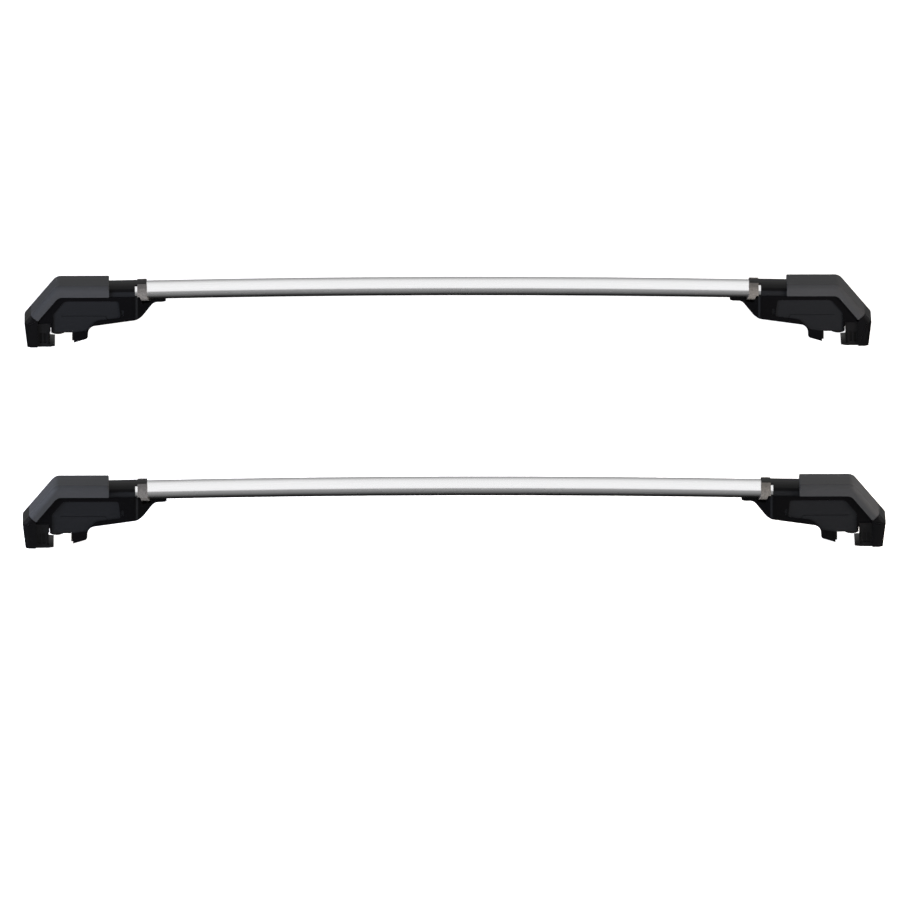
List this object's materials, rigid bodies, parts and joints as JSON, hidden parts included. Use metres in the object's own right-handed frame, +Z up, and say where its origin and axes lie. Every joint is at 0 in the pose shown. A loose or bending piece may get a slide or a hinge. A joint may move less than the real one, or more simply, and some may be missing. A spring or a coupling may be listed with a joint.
{
  "type": "roof crossbars",
  "caption": "Pair of arched oval roof crossbars with a clamp foot at each end whose hooked jaw is drawn in by a screw to grip a raised roof rail.",
  "frame": {"origin": "on the ground midway between the four feet", "axes": "+X along the bars, +Y to the rear bar, +Z up"},
  "size_m": [1.1994, 1.1672, 0.0917],
  "materials": {
    "satin_aluminium": "satin anodised",
    "black_plastic": "fine satin",
    "grey_plastic": "satin",
    "grey_grained_plastic": "grained",
    "black_coated_metal": "satin coat",
    "black_rubber": "matte",
    "zinc_steel": "zinc plated"
  },
  "bodies": {
    "crossbars": {"front_bar": "satin_aluminium", "rear_bar": "satin_aluminium", "bar_fixing_screws": "zinc_steel", "front_left_foot_housing": "black_plastic", "front_left_saddle_pad": "black_rubber", "front_left_leg_pad": "black_rubber", "front_left_bar_collar": "grey_grained_plastic", "front_left_clamp_nut": "zinc_steel", "front_right_foot_housing": "black_plastic", "front_right_saddle_pad": "black_rubber", "front_right_leg_pad": "black_rubber", "front_right_bar_collar": "grey_grained_plastic", "front_right_clamp_nut": "zinc_steel", "rear_left_foot_housing": "black_plastic", "rear_left_saddle_pad": "black_rubber", "rear_left_leg_pad": "black_rubber", "rear_left_bar_collar": "grey_grained_plastic", "rear_left_clamp_nut": "zinc_steel", "rear_right_foot_housing": "black_plastic", "rear_right_saddle_pad": "black_rubber", "rear_right_leg_pad": "black_rubber", "rear_right_bar_collar": "grey_grained_plastic", "rear_right_clamp_nut": "zinc_steel"},
    "front_left_jaw": {"front_left_clamp_jaw": "black_coated_metal", "front_left_jaw_cover": "black_plastic", "front_left_jaw_pad": "black_rubber", "front_left_screw_washer": "zinc_steel"},
    "front_left_screw": {"front_left_clamp_screw": "zinc_steel", "front_left_screw_clip": "zinc_steel"},
    "front_left_cover": {"front_left_top_cover": "grey_plastic"},
    "front_right_jaw": {"front_right_clamp_jaw": "black_coated_metal", "front_right_jaw_cover": "black_plastic", "front_right_jaw_pad": "black_rubber", "front_right_screw_washer": "zinc_steel"},
    "front_right_screw": {"front_right_clamp_screw": "zinc_steel", "front_right_screw_clip": "zinc_steel"},
    "front_right_cover": {"front_right_top_cover": "grey_plastic"},
    "rear_left_jaw": {"rear_left_clamp_jaw": "black_coated_metal", "rear_left_jaw_cover": "black_plastic", "rear_left_jaw_pad": "black_rubber", "rear_left_screw_washer": "zinc_steel"},
    "rear_left_screw": {"rear_left_clamp_screw": "zinc_steel", "rear_left_screw_clip": "zinc_steel"},
    "rear_left_cover": {"rear_left_top_cover": "grey_plastic"},
    "rear_right_jaw": {"rear_right_clamp_jaw": "black_coated_metal", "rear_right_jaw_cover": "black_plastic", "rear_right_jaw_pad": "black_rubber", "rear_right_screw_washer": "zinc_steel"},
    "rear_right_screw": {"rear_right_clamp_screw": "zinc_steel", "rear_right_screw_clip": "zinc_steel"},
    "rear_right_cover": {"rear_right_top_cover": "grey_plastic"}
  },
  "joints": [
    {"name": "front_left_jaw_slide", "type": "slide", "parent": "crossbars", "child": "front_left_jaw", "axis": [-1, 0, 0], "range_m": [0, 0.018]},
    {"name": "front_left_screw_turn", "type": "hinge", "parent": "front_left_jaw", "child": "front_left_screw", "pos_m": [-0.5884, -0.55, 0.0291], "axis": [-1, 0, 0], "range_deg": [0, 6500]},
    {"name": "front_left_cover_lift", "type": "slide", "parent": "crossbars", "child": "front_left_cover", "axis": [0, 0, 1], "range_m": [0, 0.08]},
    {"name": "front_right_jaw_slide", "type": "slide", "parent": "crossbars", "child": "front_right_jaw", "axis": [1, 0, 0], "range_m": [0, 0.018]},
    {"name": "front_right_screw_turn", "type": "hinge", "parent": "front_right_jaw", "child": "front_right_screw", "pos_m": [0.5884, -0.55, 0.0291], "axis": [1, 0, 0], "range_deg": [0, 6500]},
    {"name": "front_right_cover_lift", "type": "slide", "parent": "crossbars", "child": "front_right_cover", "axis": [0, 0, 1], "range_m": [0, 0.08]},
    {"name": "rear_left_jaw_slide", "type": "slide", "parent": "crossbars", "child": "rear_left_jaw", "axis": [-1, 0, 0], "range_m": [0, 0.018]},
    {"name": "rear_left_screw_turn", "type": "hinge", "parent": "rear_left_jaw", "child": "rear_left_screw", "pos_m": [-0.5884, 0.55, 0.0291], "axis": [-1, 0, 0], "range_deg": [0, 6500]},
    {"name": "rear_left_cover_lift", "type": "slide", "parent": "crossbars", "child": "rear_left_cover", "axis": [0, 0, 1], "range_m": [0, 0.08]},
    {"name": "rear_right_jaw_slide", "type": "slide", "parent": "crossbars", "child": "rear_right_jaw", "axis": [1, 0, 0], "range_m": [0, 0.018]},
    {"name": "rear_right_screw_turn", "type": "hinge", "parent": "rear_right_jaw", "child": "rear_right_screw", "pos_m": [0.5884, 0.55, 0.0291], "axis": [1, 0, 0], "range_deg": [0, 6500]},
    {"name": "rear_right_cover_lift", "type": "slide", "parent": "crossbars", "child": "rear_right_cover", "axis": [0, 0, 1], "range_m": [0, 0.08]}
  ],
  "couplings": [
    {"joint": "front_left_screw_turn", "follows": "front_left_jaw_slide", "rad_per_m": 6283.2},
    {"joint": "front_right_screw_turn", "follows": "front_right_jaw_slide", "rad_per_m": 6283.2},
    {"joint": "rear_left_screw_turn", "follows": "rear_left_jaw_slide", "rad_per_m": 6283.2},
    {"joint": "rear_right_screw_turn", "follows": "rear_right_jaw_slide", "rad_per_m": 6283.2}
  ]
}
